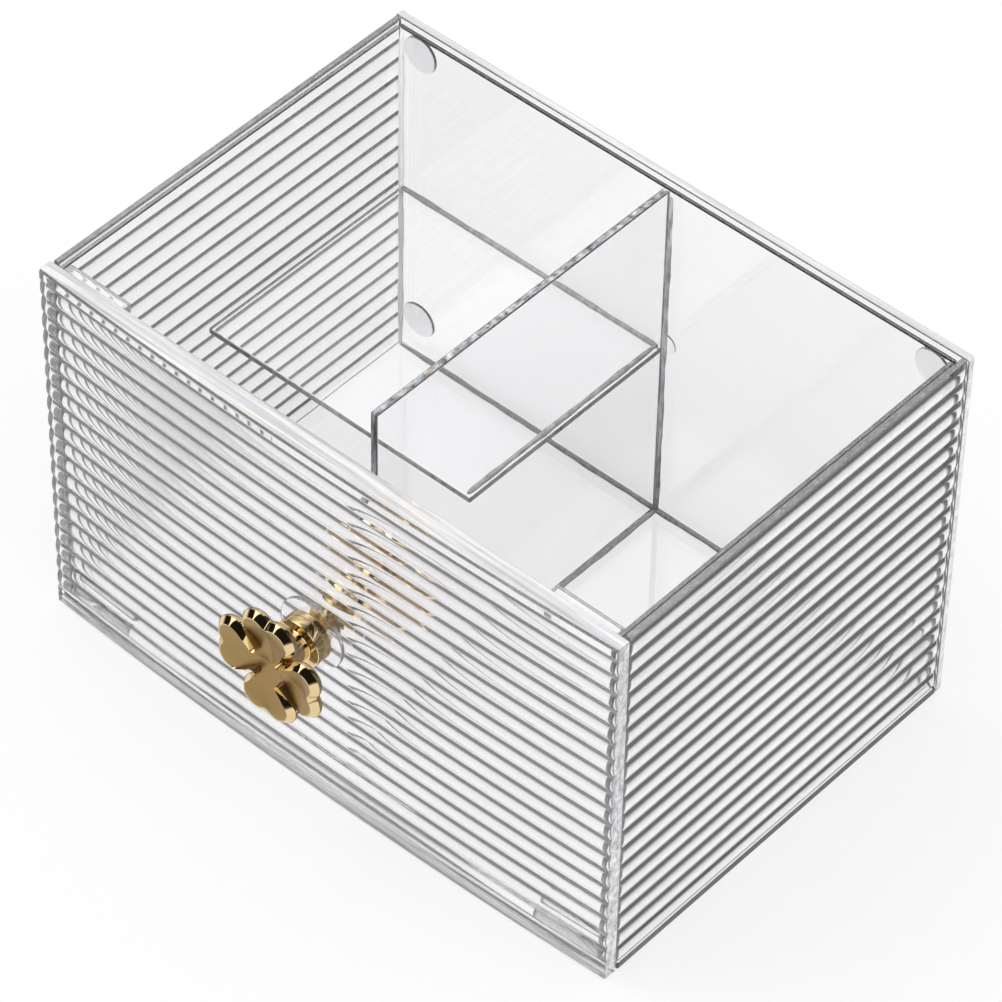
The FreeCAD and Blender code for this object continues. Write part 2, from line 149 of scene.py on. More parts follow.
class KnobSettings(bpy.types.PropertyGroup):
    rear_rim: FloatProperty(
        name="Rear rim", description="Rounding between the clover's side and its rear",
        default=1.4 * MM, min=0.2 * MM, max=1.45 * MM, unit="LENGTH")
    slant: FloatProperty(
        name="Slant", description="How far the clover's side leans in from its widest line to its face",
        default=1.1 * MM, min=0.1 * MM, max=1.5 * MM, unit="LENGTH")
    slant_height: FloatProperty(
        name="Slant height", description="Height of the leaning part of the clover's side",
        default=1.5 * MM, min=0.1 * MM, max=1.55 * MM, unit="LENGTH")
    dish: FloatProperty(
        name="Dish", description="Depth of the hollow in the clover's face, at its centre",
        default=2.0 * MM, min=0, max=2.4 * MM, unit="LENGTH")
    dish_radius: FloatProperty(
        name="Dish radius", description="Radius of the hollow in the clover's face",
        default=11.0 * MM, min=4 * MM, unit="LENGTH")
    crease: FloatProperty(
        name="Crease", description="Depth of the crease down the middle of each leaf",
        default=0.3 * MM, min=0, max=1 * MM, unit="LENGTH")
    crease_width: FloatProperty(
        name="Crease width", description="Width of each flank of the crease",
        default=2.6 * MM, min=0.2 * MM, unit="LENGTH")
    lobe_radius: FloatProperty(
        name="Lobe radius", description="Radius of each of the two lobes of a leaf",
        default=4.2 * MM, min=3 * MM, max=6 * MM, unit="LENGTH")
    lobe_along: FloatProperty(
        name="Lobe along", description="Centre of a lobe along its leaf",
        default=9.2 * MM, min=6 * MM, max=12 * MM, unit="LENGTH")
    lobe_aside: FloatProperty(
        name="Lobe aside", description="Centre of a lobe to the side of its leaf's middle line",
        default=2.7 * MM, min=1 * MM, max=4 * MM, unit="LENGTH")
    notch_radius: FloatProperty(
        name="Notch radius", description="Rounding of the notch between the two lobes of a leaf",
        default=0.4 * MM, min=0.1 * MM, max=2 * MM, unit="LENGTH")
    gap_to_centre: FloatProperty(
        name="Gap to centre", description="Inner end of the gap between two leaves",
        default=4.4 * MM, min=2 * MM, max=8 * MM, unit="LENGTH")
    gap_radius: FloatProperty(
        name="Gap radius", description="Rounding of the gap's inner end",
        default=0.5 * MM, min=0.1 * MM, max=2 * MM, unit="LENGTH")
    gap_share: FloatProperty(
        name="Gap share", description="Share of an inset that the gap's inner end follows",
        default=0.35, min=0, max=1, subtype="FACTOR")
    drum_radius: FloatProperty(
        name="Drum radius", description="Radius of the wide part of the stem",
        default=5.6 * MM, min=1 * MM, unit="LENGTH")
    drum_length: FloatProperty(
        name="Drum length", description="Length of the wide part of the stem",
        default=3.8 * MM, min=1 * MM, unit="LENGTH")
    neck_radius: FloatProperty(
        name="Neck radius", description="Radius of the thin part of the stem",
        default=3.4 * MM, min=1 * MM, unit="LENGTH")
    neck_flare: FloatProperty(
        name="Neck flare", description="Radius of the hollow curve from the neck out to the clover",
        default=2.4 * MM, min=0.2 * MM, unit="LENGTH")
    washer_hole: FloatProperty(
        name="Washer hole", description="Radius of the hole in the clear washer",
        default=2.2 * MM, min=0.5 * MM, unit="LENGTH")


class FinishSettings(bpy.types.PropertyGroup):
    plastic: FloatVectorProperty(
        name="Clear plastic", description="Tint of the clear plastic", subtype="COLOR", size=3,
        default=(0.990, 0.986, 0.991), min=0, max=1)
    pad: FloatVectorProperty(
        name="Pad", description="Colour of the soft clear pads", subtype="COLOR", size=3,
        default=(0.90, 0.91, 0.92), min=0, max=1)
    gold_face: FloatVectorProperty(
        name="Gold face", description="Colour of the knob's satin face", subtype="COLOR", size=3,
        default=(0.37, 0.25, 0.10), min=0, max=1)
    gold_rim: FloatVectorProperty(
        name="Gold rim",
        description="Colour of the knob's polished rim and stem", subtype="COLOR", size=3,
        default=(0.78, 0.60, 0.33), min=0, max=1)
    cut_edge: FloatProperty(
        name="Cut edges", description="How much the cut edges of the panels hide what is behind them",
        default=0.8, min=0, max=1, subtype="FACTOR")


class StudioSettings(bpy.types.PropertyGroup):
    camera_place: FloatVectorProperty(
        name="Camera",
        description="Where the camera stands", subtype="TRANSLATION", size=3, unit="LENGTH",
        default=(0.52204, -0.60111, 0.86296))
    camera_turn: FloatVectorProperty(
        name="Camera turn",
        description="How the camera is turned", subtype="EULER", size=3, unit="ROTATION",
        default=(0.770236, -0.014301, 0.729667))
    lens: FloatProperty(
        name="Lens", description="Focal length in millimetres on a 36 mm sensor", default=204.83, min=20)
    floor_colour: FloatVectorProperty(
        name="Floor", description="Colour of the floor", subtype="COLOR", size=3,
        default=(0.93, 0.93, 0.93), min=0, max=1)
    dark_floor: FloatProperty(
        name="Dark floor", description="How bright the floor is in what the clear plastic mirrors inside",
        default=0.05, min=0, max=1)
    front_gain: FloatProperty(
        name="Front gain",
        description="How much brighter those mirrored surroundings are in front of the box",
        default=3.2, min=0)
    back_light: FloatProperty(
        name="Back light",
        description="How bright the mirrored surroundings are behind the box on the left",
        default=0.75, min=0)
    floor_lift: FloatProperty(
        name="Floor lift", description="Share of plain white in the floor where it is seen",
        default=0.75, min=0, max=1)
    face_gain: FloatProperty(
        name="Gain per face",
        description="How much brighter the surroundings are behind each further clear face",
        default=0.085, min=0, max=1)
    deep_gain: FloatProperty(
        name="Gain in the depth",
        description="How much brighter the mirrored surroundings are behind each face past "
        "the fourth", default=1.2, min=0, max=2)
    world_light: FloatProperty(
        name="World light", description="Strength of the light from all round", default=0.8, min=0)
    mirror_light: FloatProperty(
        name="Mirrored surroundings",
        description="How bright polished faces mirror the room beside the soft boxes",
        default=0.012, min=0, max=1)
    dark_light: FloatProperty(
        name="Dark surroundings",
        description="How bright the room is in what the clear plastic mirrors inside",
        default=0.03, min=0, max=1)


SETTINGS = {
    "box_panels": PanelSettings, "box_tray": TraySettings, "box_knob": KnobSettings,
    "box_finish": FinishSettings, "box_studio": StudioSettings,
}


# Shader maths ----------------------------------------------------------------------------------

class Value:
    """A socket in a sum: each operator adds the Math node that it stands for."""

    def __init__(self, tree, socket):
        self.tree, self.socket = tree, socket

    def __add__(self, other):
        return self.tree.math("ADD", self, other)

    def __radd__(self, other):
        return self.tree.math("ADD", other, self)

    def __sub__(self, other):
        return self.tree.math("SUBTRACT", self, other)

    def __rsub__(self, other):
        return self.tree.math("SUBTRACT", other, self)

    def __mul__(self, other):
        return self.tree.math("MULTIPLY", self, other)

    def __rmul__(self, other):
        return self.tree.math("MULTIPLY", other, self)


class Tree:
    """The nodes of a material or a world."""

    def __init__(self, owner):
        owner.use_nodes = True
        self.owner = owner
        self.nodes, self.links = owner.node_tree.nodes, owner.node_tree.links
        self.nodes.clear()

    def node(self, kind, sockets=None, output=0, stops=None, **settings):
        """Adds a node: its settings and a ramp's stops first, then the values or links of its sockets."""
        made = self.nodes.new(kind)
        for name, value in settings.items():
            setattr(made, name, value)
        if stops:
            for spare in list(made.color_ramp.elements)[len(stops):]:
                made.color_ramp.elements.remove(spare)
            while len(made.color_ramp.elements) < len(stops):
                made.color_ramp.elements.new(0.5)
            for element, (place, colour) in zip(made.color_ramp.elements, stops):
                element.position, element.color = place, colour
        for name, value in (sockets or {}).items():
            if isinstance(value, Value):
                self.links.new(value.socket, made.inputs[name])
            else:
                made.inputs[name].default_value = value
        return Value(self, made.outputs[output]) if len(made.outputs) else None

    def math(self, operation, first, second):
        return self.node("ShaderNodeMath", {0: first, 1: second}, operation=operation)

    def ray(self, kind):
        """What Light Path knows of the light's way, such as whether the camera sees it."""
        return self.node("ShaderNodeLightPath", output=kind)

    def mark(self, name):
        """The number that a piece's points carry under that name, or 0."""
        return self.node("ShaderNodeAttribute", attribute_name=name, output="Fac")

    def part(self, vector, axis):
        return self.node("ShaderNodeSeparateXYZ", {"Vector": vector}, output=axis)

    def grey(self, level):
        return self.node("ShaderNodeCombineColor", {"Red": level, "Green": level, "Blue": level})

    def place(self, scale=(1, 1, 1)):
        """Object coordinates, made finer along each axis by scale."""
        coordinates = self.node("ShaderNodeTexCoord", output="Object")
        return self.node("ShaderNodeMapping", {"Vector": coordinates, "Scale": scale})

    def noise(self, where, scale, detail=3.0, rough=0.5):
        """Noise with scale waves to the metre."""
        return self.node("ShaderNodeTexNoise", {
            "Vector": where, "Scale": scale, "Detail": detail, "Roughness": rough})

    def bump(self, height, distance):
        return self.node("ShaderNodeBump", {"Height": height, "Distance": distance, "Strength": 1.0})

    def bounced(self):
        """1 for light that comes out of clear plastic after it was mirrored inside, such as in a rib,
        otherwise 0."""
        return self.math("GREATER_THAN", self.ray("Glossy Depth"), 0.5) * self.ray("Is Transmission Ray")

    def made_up(self, gain, free=2.0, most=2.0):
        """Strength that makes up for what each clear face on the way mirrors off: 1 up to the free faces,
        then more with each face, up to the most."""
        strength = 1.0 - free * gain + self.ray("Transmission Depth") * gain
        return self.math("MINIMUM", self.math("MAXIMUM", strength, 1.0), most)

    def tint(self, factor, low, high):
        """Colour between low and high."""
        return self.node("ShaderNodeMix", {"Factor": factor, "A": low, "B": high}, output="Result",
                         data_type="RGBA")

    def finish(self, shader):
        """Makes that shader the surface."""
        kind = "World" if isinstance(self.owner, bpy.types.World) else "Material"
        self.node("ShaderNodeOutput" + kind, {"Surface": shader})
        return self.owner


def material(name):
    return Tree(bpy.data.materials.new(name))


def opaque(colour, level=1.0):
    """The colour at that level, with its alpha."""
    return tuple(level * channel for channel in colour[:3]) + (1.0,)


def clear_plastic(finish):
    """Polished clear plastic: a slow moulding ripple, faint polishing marks, and smudges that dull it a
    little. Where the edge mark is set, it is a cut edge, streaked and cloudy. Its tone mark
    sets how light that cloudy edge is, which is painted light and shade given for each piece, its stress mark
    how strong its streaks and stress colours are, and its crosswise mark that the streaks run across the box
    and not up it."""
    tree = material("clear plastic")
    ripple = tree.noise(tree.place(), scale=55.0, detail=1.0)
    polishing = tree.noise(tree.place((1, 1, 6)), scale=900.0, detail=2.0)
    smudge = tree.noise(tree.place(), scale=28.0, detail=4.0, rough=0.6)
    clear = tree.node("ShaderNodeBsdfPrincipled", {
        "Base Color": tree.tint(smudge, opaque(finish.plastic, 0.99), opaque(finish.plastic)),
        "Roughness": smudge * 0.03,
        "Transmission Weight": 1.0,
        "IOR": 1.49,
        "Normal": tree.bump(ripple * 0.9 + polishing * 0.004, distance=0.06 * MM),
    })
    stress = tree.mark("stress")
    grain = tree.node("ShaderNodeMix", {
        "Factor": tree.mark("crosswise"), "A": tree.place((1, 0.6, 0.12)), "B": tree.place((0.03, 1, 0.6)),
    }, output="Result", data_type="VECTOR")
    streaks = tree.noise(grain, scale=700.0, detail=5.0, rough=0.7)
    # The level that each piece gives its cut edges is painted light and shade: low where the piece stands in
    # shade, above 1 where it is painted brighter.
    level = tree.mark("tone") * (1.0 + (streaks - 0.5) * (0.5 + stress * 3.5))
    fringes = tree.noise(tree.place(), scale=420.0, rough=0.6)
    fringes = tree.node("ShaderNodeValToRGB", {"Fac": fringes}, stops=(
        (0.30, (0.62, 0.84, 1.0, 1)), (0.45, (0.95, 0.93, 1.0, 1)), (0.58, (1.0, 0.96, 0.95, 1)),
        (0.68, (1.0, 0.78, 0.55, 1))))
    tinted = tree.node("ShaderNodeMix", {"Factor": 0.15 + stress * 0.85, "A": tree.grey(level), "B": fringes},
                       output="Result", data_type="RGBA", blend_type="MULTIPLY")
    cloudy = tree.node("ShaderNodeBsdfPrincipled", {"Base Color": tinted, "Roughness": 0.35})
    cover = tree.mark("edge") * (finish.cut_edge * (0.3 + streaks * 1.1))
    return tree.finish(tree.node("ShaderNodeMixShader", {0: cover, 1: clear, 2: cloudy}))


def soft_clear_pad(finish):
    """Soft clear pad: milky, with fine grain and a dull skin."""
    tree = material("soft clear pad")
    grain = tree.noise(tree.place(), scale=1400.0)
    cloud = tree.noise(tree.place(), scale=160.0, detail=2.0)
    shader = tree.node("ShaderNodeBsdfPrincipled", {
        "Base Color": tree.tint(cloud, opaque(finish.pad, 0.96), opaque(finish.pad)),
        "Roughness": 0.05 + cloud * 0.08,
        "Transmission Weight": 0.95,
        "IOR": 1.42,
        "Normal": tree.bump(grain, distance=0.02 * MM),
    })
    return tree.finish(shader)


def satin_gold(finish):
    """Gold plating: brushed satin where the face mark is set, on the clover's face, and mirror polish
    elsewhere."""
    tree = material("satin and polished gold")
    face = tree.mark("face")
    brush = tree.noise(tree.place((1, 1, 14)), scale=420.0, detail=4.0, rough=0.65)
    cloud = tree.noise(tree.place(), scale=90.0)
    satin = tree.tint(cloud, opaque(finish.gold_face, 0.92), opaque(finish.gold_face, 1.08))
    shader = tree.node("ShaderNodeBsdfPrincipled", {
        "Base Color": tree.tint(face, opaque(finish.gold_rim), satin),
        "Metallic": 1.0,
        "Roughness": 0.07 + face * (0.27 + brush * 0.12),
        "Normal": tree.bump(brush * face + cloud * 0.05, distance=0.012 * MM),
    })
    return tree.finish(shader)


def polished_gold(finish):
    """Mirror-polished gold plating with a faint orange-peel ripple and wipe marks."""
    tree = material("polished gold")
    peel = tree.noise(tree.place(), scale=700.0, detail=2.0)
    wipe = tree.noise(tree.place((6, 1, 1)), scale=260.0)
    shader = tree.node("ShaderNodeBsdfPrincipled", {
        "Base Color": tree.tint(wipe, opaque(finish.gold_rim, 0.96), opaque(finish.gold_rim)),
        "Metallic": 1.0,
        "Roughness": 0.05 + wipe * 0.06,
        "Normal": tree.bump(peel, distance=0.004 * MM),
    })
    return tree.finish(shader)


def plain_plating(finish):
    """Plain plated screw: turning marks round the shank."""
    tree = material("plated screw")
    turned = tree.noise(tree.place((1, 40, 1)), scale=300.0, detail=2.0)
    shader = tree.node("ShaderNodeBsdfPrincipled", {
        "Base Color": tree.tint(turned, opaque(finish.gold_rim, 0.85), opaque(finish.gold_rim, 0.98)),
        "Metallic": 1.0,
        "Roughness": 0.18 + turned * 0.12,
        "Normal": tree.bump(turned, distance=0.015 * MM),
    })
    return tree.finish(shader)


MAKERS = {
    "clear_plastic": clear_plastic, "clear_pad": soft_clear_pad, "gold_metal": satin_gold,
    "polished_gold": polished_gold, "screw_metal": plain_plating,
}
made_materials = {}


def finish_of(context, name):
    """The material of that name, made when it is first asked for."""
    if name not in made_materials:
        made_materials[name] = MAKERS[name](context.scene.box_finish)
    return made_materials[name]


# Surfaces --------------------------------------------------------------------------------------

def put(name, points, faces, look, body, slot, normals=None, **marks):
    """Makes the piece of these points and faces, in its place, and lets it ride on a body. The marks are
    numbers for its points that its material reads by name."""
    mesh = bpy.data.meshes.new(name)
    mesh.from_pydata(points.tolist(), [], faces)
    mesh.shade_smooth()
    mesh.materials.append(look)
    if normals is not None:
        mesh.normals_split_custom_set_from_vertices(normals.tolist())
    mesh.validate()
    for mark, values in marks.items():
        values = np.broadcast_to(values, len(mesh.vertices)).astype(np.float32)
        mesh.attributes.new(mark, "FLOAT", "POINT").data.foreach_set("value", values)
    piece = bpy.data.objects.new(name, mesh)
    bpy.context.collection.objects.link(piece)
    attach(piece, body)
    return piece


def grid_faces(rows, columns, first=0, around=True):
    """Quads between neighbouring rows of a grid of points, joined round the columns where around is
    true."""
    index = first + np.arange(rows * columns).reshape(rows, columns)
    after = np.roll(index, -1, axis=1) if around else index[:, 1:]
    here = index if around else index[:, :-1]
    quads = np.stack([here[:-1], after[:-1], after[1:], here[1:]], axis=-1)
    return quads.reshape(-1, 4)


def merged(points, other, faces):
    """The same surface with its doubled points made one and its empty faces gone. The other values of its
    points, such as their normals, are kept with them."""
    keys = np.round(points / DOUBLED).astype(np.int64)
    _, first, same = np.unique(keys, axis=0, return_index=True, return_inverse=True)
    same = same.reshape(-1)
    kept = []
    for face in faces:
        ring = same[face].tolist()
        ring = [point for i, point in enumerate(ring) if point != ring[i - 1]]
        if len(set(ring)) > 2:
            kept.append(ring)
    return points[first], other[first], kept


def slab(low, high, rounding, seam):
    """Block with rounded edges. Each point is the corner of a smaller block, in the octant that a
    direction points to, plus the rounding times that direction. The direction runs over a grid of
    latitude and longitude whose quarter turns are doubled, so that the steps between corners are the flat
    faces."""
    low, high = low + seam, high - seam
    rounding = min(rounding, 0.49 * (high - low).min())
    count = 4        # directions in a quarter turn
    steps = np.linspace(0, math.pi / 2, count)
    turn = np.concatenate([steps + quarter * math.pi / 2 for quarter in range(4)])
    side_x = np.repeat([1, -1, -1, 1], count)
    side_y = np.repeat([1, 1, -1, -1], count)
    tilt = np.concatenate([steps - math.pi / 2, steps])
    side_z = np.repeat([-1, 1], count)
    across, up = np.cos(tilt)[:, None], np.sin(tilt)[:, None]
    direction = np.stack(np.broadcast_arrays(across * np.cos(turn), across * np.sin(turn), up + 0 * turn), -1)
    side = np.stack(np.broadcast_arrays(side_x[None, :], side_y[None, :], side_z[:, None]), -1)
    centre, half = (low + high) / 2, (high - low) / 2 - rounding
    points = (centre + side * half + rounding * direction).reshape(-1, 3)
    corners = np.arange(4) * count
    caps = np.array([np.roll(corners[::-1], 1), (len(tilt) - 1) * len(turn) + corners])
    faces = np.concatenate([grid_faces(len(tilt), len(turn)), caps])
    return merged(points, direction.reshape(-1, 3), faces)


def softened(line, softness, spacing=0.12 * MM, turn=math.radians(3.5)):
    """A closed line resampled at even steps and averaged with a bell curve as wide as the softness, so
    that each corner is rounded. Returns its points and outward normals, thinned to one or two for each
    turn."""
    line = np.vstack([line, line[:1]])
    lengths = np.concatenate([[0], np.cumsum(np.linalg.norm(np.diff(line, axis=0), axis=1))])
    count = int(lengths[-1] / spacing)
    at = np.arange(count) * lengths[-1] / count
    even = np.stack([np.interp(at, lengths, line[:, i]) for i in range(2)], 1)
    wave = np.fft.fftfreq(count, lengths[-1] / count) * 2 * math.pi
    bell = np.exp(-0.5 * (wave * softness) ** 2)
    soft = np.stack([np.fft.ifft(np.fft.fft(even[:, i]) * bell).real for i in range(2)], 1)
    along = np.roll(soft, -1, axis=0) - np.roll(soft, 1, axis=0)
    along /= np.linalg.norm(along, axis=1)[:, None]
    normals = np.stack([along[:, 1], -along[:, 0]], 1)
    heading = np.unwrap(np.arctan2(along[:, 1], along[:, 0]))
    step = np.floor(heading / turn)
    keep = (step != np.roll(step, 1)) | (step != np.roll(step, -1))
    return soft[keep], normals[keep]


def filled(line):
    """Triangles between the points of a closed line that fill it, turned as the line runs."""
    inside_only, nearest = 1, 1e-6      # what is asked for, and how near two points, in mm, are one
    found = delaunay_2d_cdt((line / MM).tolist(), [], [list(range(len(line)))], inside_only, nearest)
    point = np.array([first for first, *_ in found[3]])
    triangles = point[np.array(found[2])]
    following = np.roll(line, -1, axis=0)
    leftwards = (line[:, 0] * following[:, 1] - line[:, 1] * following[:, 0]).sum() > 0
    return triangles if leftwards else triangles[:, ::-1]


def carried(points, normals, start, end, rounding, place, between=0):
    """A closed line carried from start to end, with rounded rims and flat caps. On a rim, the line moves
    inwards by rounding x (1 - cos t) at rounding x (1 - sin t) from the end, where t is the lean of the
    normal. place(along, points, normals, lean) turns the line at one distance along the way into points
    and normals in space, and between is the number of places between the rims."""
    lean = np.linspace(math.pi / 2, 0, 5)
    inset, inwards = rounding * (1 - np.cos(lean)), rounding * (1 - np.sin(lean))
    first_rim = list(zip(start + inwards, inset, -lean))
    last_rim = list(zip(end - inwards, inset, lean))[::-1]
    middle = [(along, 0.0, 0.0) for along in np.linspace(start, end, 2 + between)[1:-1]
              if start + rounding < along < end - rounding]
    rows = [place(along, points - depth * normals, normals, tilt)
            for along, depth, tilt in first_rim + middle + last_rim]
    count = len(points)
    cap = filled(points)        # of the line before it moves inwards, so that no tight corner folds a cap
    caps = np.concatenate([cap[:, ::-1], cap + (len(rows) - 1) * count])
    faces = grid_faces(len(rows), count).tolist() + caps.tolist()
    return np.concatenate([r[0] for r in rows]), np.concatenate([r[1] for r in rows]), faces


def rib_depth(height, low, high, count, rib):
    """Depth of a rib's skin below its crest at each height: round arcs one above the other between low
    and high."""
    pitch = (high - low) / count
    radius = ((pitch / 2) ** 2 + rib ** 2) / (2 * rib)
    offset = np.mod(height - low, pitch) - pitch / 2
    return radius - np.sqrt(radius ** 2 - offset ** 2)


def turned(points, normals, centre, around):
    """Points and normals of (radius, way ahead) turned about the axis through the centre that runs
    ahead."""
    turn = np.arange(around) * 2 * math.pi / around
    radial = np.stack([np.cos(turn), 0 * turn, np.sin(turn)], 1)
    spin = [line[:, None, 0:1] * radial + line[:, None, 1:2] * AHEAD for line in (points, normals)]
    return (centre + spin[0]).reshape(-1, 3), spin[1].reshape(-1, 3)


def ring(outline, softness, centre, around=72):
    """A closed outline of (radius, way ahead) that is softened, then turned into a ring."""
    points, normals = softened(outline, softness, spacing=0.06 * MM)
    count = len(points)
    last, first = (count - 1) * around + np.arange(around), np.arange(around)
    closing = np.stack([last, np.roll(last, -1), np.roll(first, -1), first], 1)
    faces = np.concatenate([grid_faces(count, around), closing])
    return turned(points, normals, centre, around) + (faces.tolist(),)


def disc(outline, softness, centre, around=72):
    """An outline of (radius, way ahead) from the axis out and back, mirrored so that it softens evenly,
    then turned into a disc."""
    mirrored = np.concatenate([outline[1:-1], outline[1:-1][::-1] * [-1, 1]])
    points, normals = softened(mirrored, softness, spacing=0.04 * MM)
    right = points[:, 0] > 0.001 * MM
    start = -np.flatnonzero(right & ~np.roll(right, 1))[0]
    points = np.roll(points, start, axis=0)[:right.sum()]
    normals = np.roll(normals, start, axis=0)[:right.sum()]
    points = np.concatenate([[[0, points[0, 1]]], points, [[0, points[-1, 1]]]])
    normals = np.concatenate([[[0, -1.0]], normals, [[0, 1.0]]])
    where, facing = turned(points, normals, centre, around)
    return merged(where, facing, grid_faces(len(points), around))


# Pieces ----------------------------------------------------------------------------------------

def slab_piece(context, node, body, tone, cover=1.0, rounding=1.0, stress=0.0, crosswise=0.0, high=None):
    """Clear panel from the node's lowest corner to its highest one, or to another that is given. Its cut
    edges, all faces but the two large ones, have this level of painted light and shade, share of cover,
    stress colour and direction of streaks. Its rounding is a multiple of the panels' usual one."""
    panels = context.scene.box_panels
    low, top = np.array(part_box(node))
    high = top if high is None else high
    points, normals, faces = slab(low, high, rounding * panels.edge_rounding, panels.seam)
    cut = np.abs(normals[:, np.argmin(high - low)]) < 0.5
    look = finish_of(context, "clear_plastic")
    piece = put(node + "_panel", points, faces, look, body, "clear_plastic", normals,
                edge=cut * cover, tone=tone, stress=stress, crosswise=crosswise)
    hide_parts(node)


def cut_share(normals, end_axis, top, ends):
    """One number for the top and underside of a ribbed panel, another for its two ends, and 0 for its
    ribs and its flat face."""
    return top * (np.abs(normals[:, 2]) > 0.85) + ends * (np.abs(normals[:, end_axis]) > 0.85)


class BOX_OT_case_panels(bpy.types.Operator):
    """Make the plain base and back panels and the two ribbed side panels of the case"""
    bl_idname = "box.case_panels"
    bl_label = "Case panels"

    def execute(self, context):
        # Each panel's level of painted light and shade on its cut edges: the base panel's edges are painted
        # dark, as in shade under the box.
        slab_piece(context, "base_panel", CASE, tone=0.08)
        slab_piece(context, "back_panel", CASE, tone=1.0, crosswise=1.0)
        for side, node in ((-1, "left_side_panel"), (1, "right_side_panel")):
            self.ribbed_side(context, side, node)
        return {"FINISHED"}

    def ribbed_side(self, context, side, node):
        """The ribbed outline of the panel, seen from the front, carried straight back."""
        panels = context.scene.box_panels
        low, high = np.array(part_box(node))
        heights = np.linspace(low[2], high[2], STEPS_A_RIB * panels.rib_count + 1)
        depth = rib_depth(heights, low[2], high[2], panels.rib_count, panels.side_rib_height)
        thickness = high[0] - low[0]
        seam = panels.seam
        outer = np.stack([thickness - seam - depth, np.clip(heights, low[2] + seam, high[2] - seam)], 1)
        inner = np.array([[seam, high[2] - seam], [seam, low[2] + seam]])
        points, normals = softened(np.concatenate([outer, inner]), panels.softness)
        base = high[0] if side < 0 else low[0]

        def place(along, line, facing, lean):
            x = base + side * line[:, 0]
            where = np.stack([x, np.full(len(x), along), line[:, 1]], 1)
            upright, leaning = math.cos(lean), math.sin(lean)
            return where, np.stack([
                side * facing[:, 0] * upright, np.full(len(x), leaning), facing[:, 1] * upright], 1)

        where, facing, faces = carried(
            points, normals, low[1] + seam, high[1] - seam, panels.softness * 1.5, place)
        if side > 0:
            faces = [face[::-1] for face in faces]
        look = finish_of(context, "clear_plastic")
        # The ribbed sides' cut edges get a middling level of painted shade.
        piece = put(node + "_ribbed", where, faces, look, CASE, "clear_plastic", facing,
                    edge=cut_share(facing, 1, 0.6, 0.5), tone=0.45, stress=0.25)
        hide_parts(node)


class BOX_OT_bumper_pads(bpy.types.Operator):
    """Make the four soft clear pads on the inside of the back panel"""
    bl_idname = "box.bumper_pads"
    bl_label = "Bumper pads"

    def execute(self, context):
        for level in ("lower", "upper"):
            for side in ("left", "right"):
                self.pad(context, "bumper_pad_%s_%s" % (level, side))
        return {"FINISHED"}

    def pad(self, context, node):
        """A thin disc with a soft rim, turned about its own axis."""
        low, high = np.array(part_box(node))
        seam = context.scene.box_panels.seam
        radius, rise = (high[0] - low[0]) / 2, high[1] - low[1] - seam
        centre = np.array([(low[0] + high[0]) / 2, high[1] - seam, (low[2] + high[2]) / 2])
        rim_height, rim_width = 0.55 * (high[1] - low[1]), 0.35 * MM
        outline = np.array([[0, 0], [radius, 0], [radius, rim_height], [radius - rim_width, rise], [0, rise]])
        points, normals, faces = disc(outline, 0.07 * MM, centre)
        look = finish_of(context, "clear_pad")
        piece = put(node + "_disc", points, faces, look, CASE, "clear_pad", normals)
        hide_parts(node)


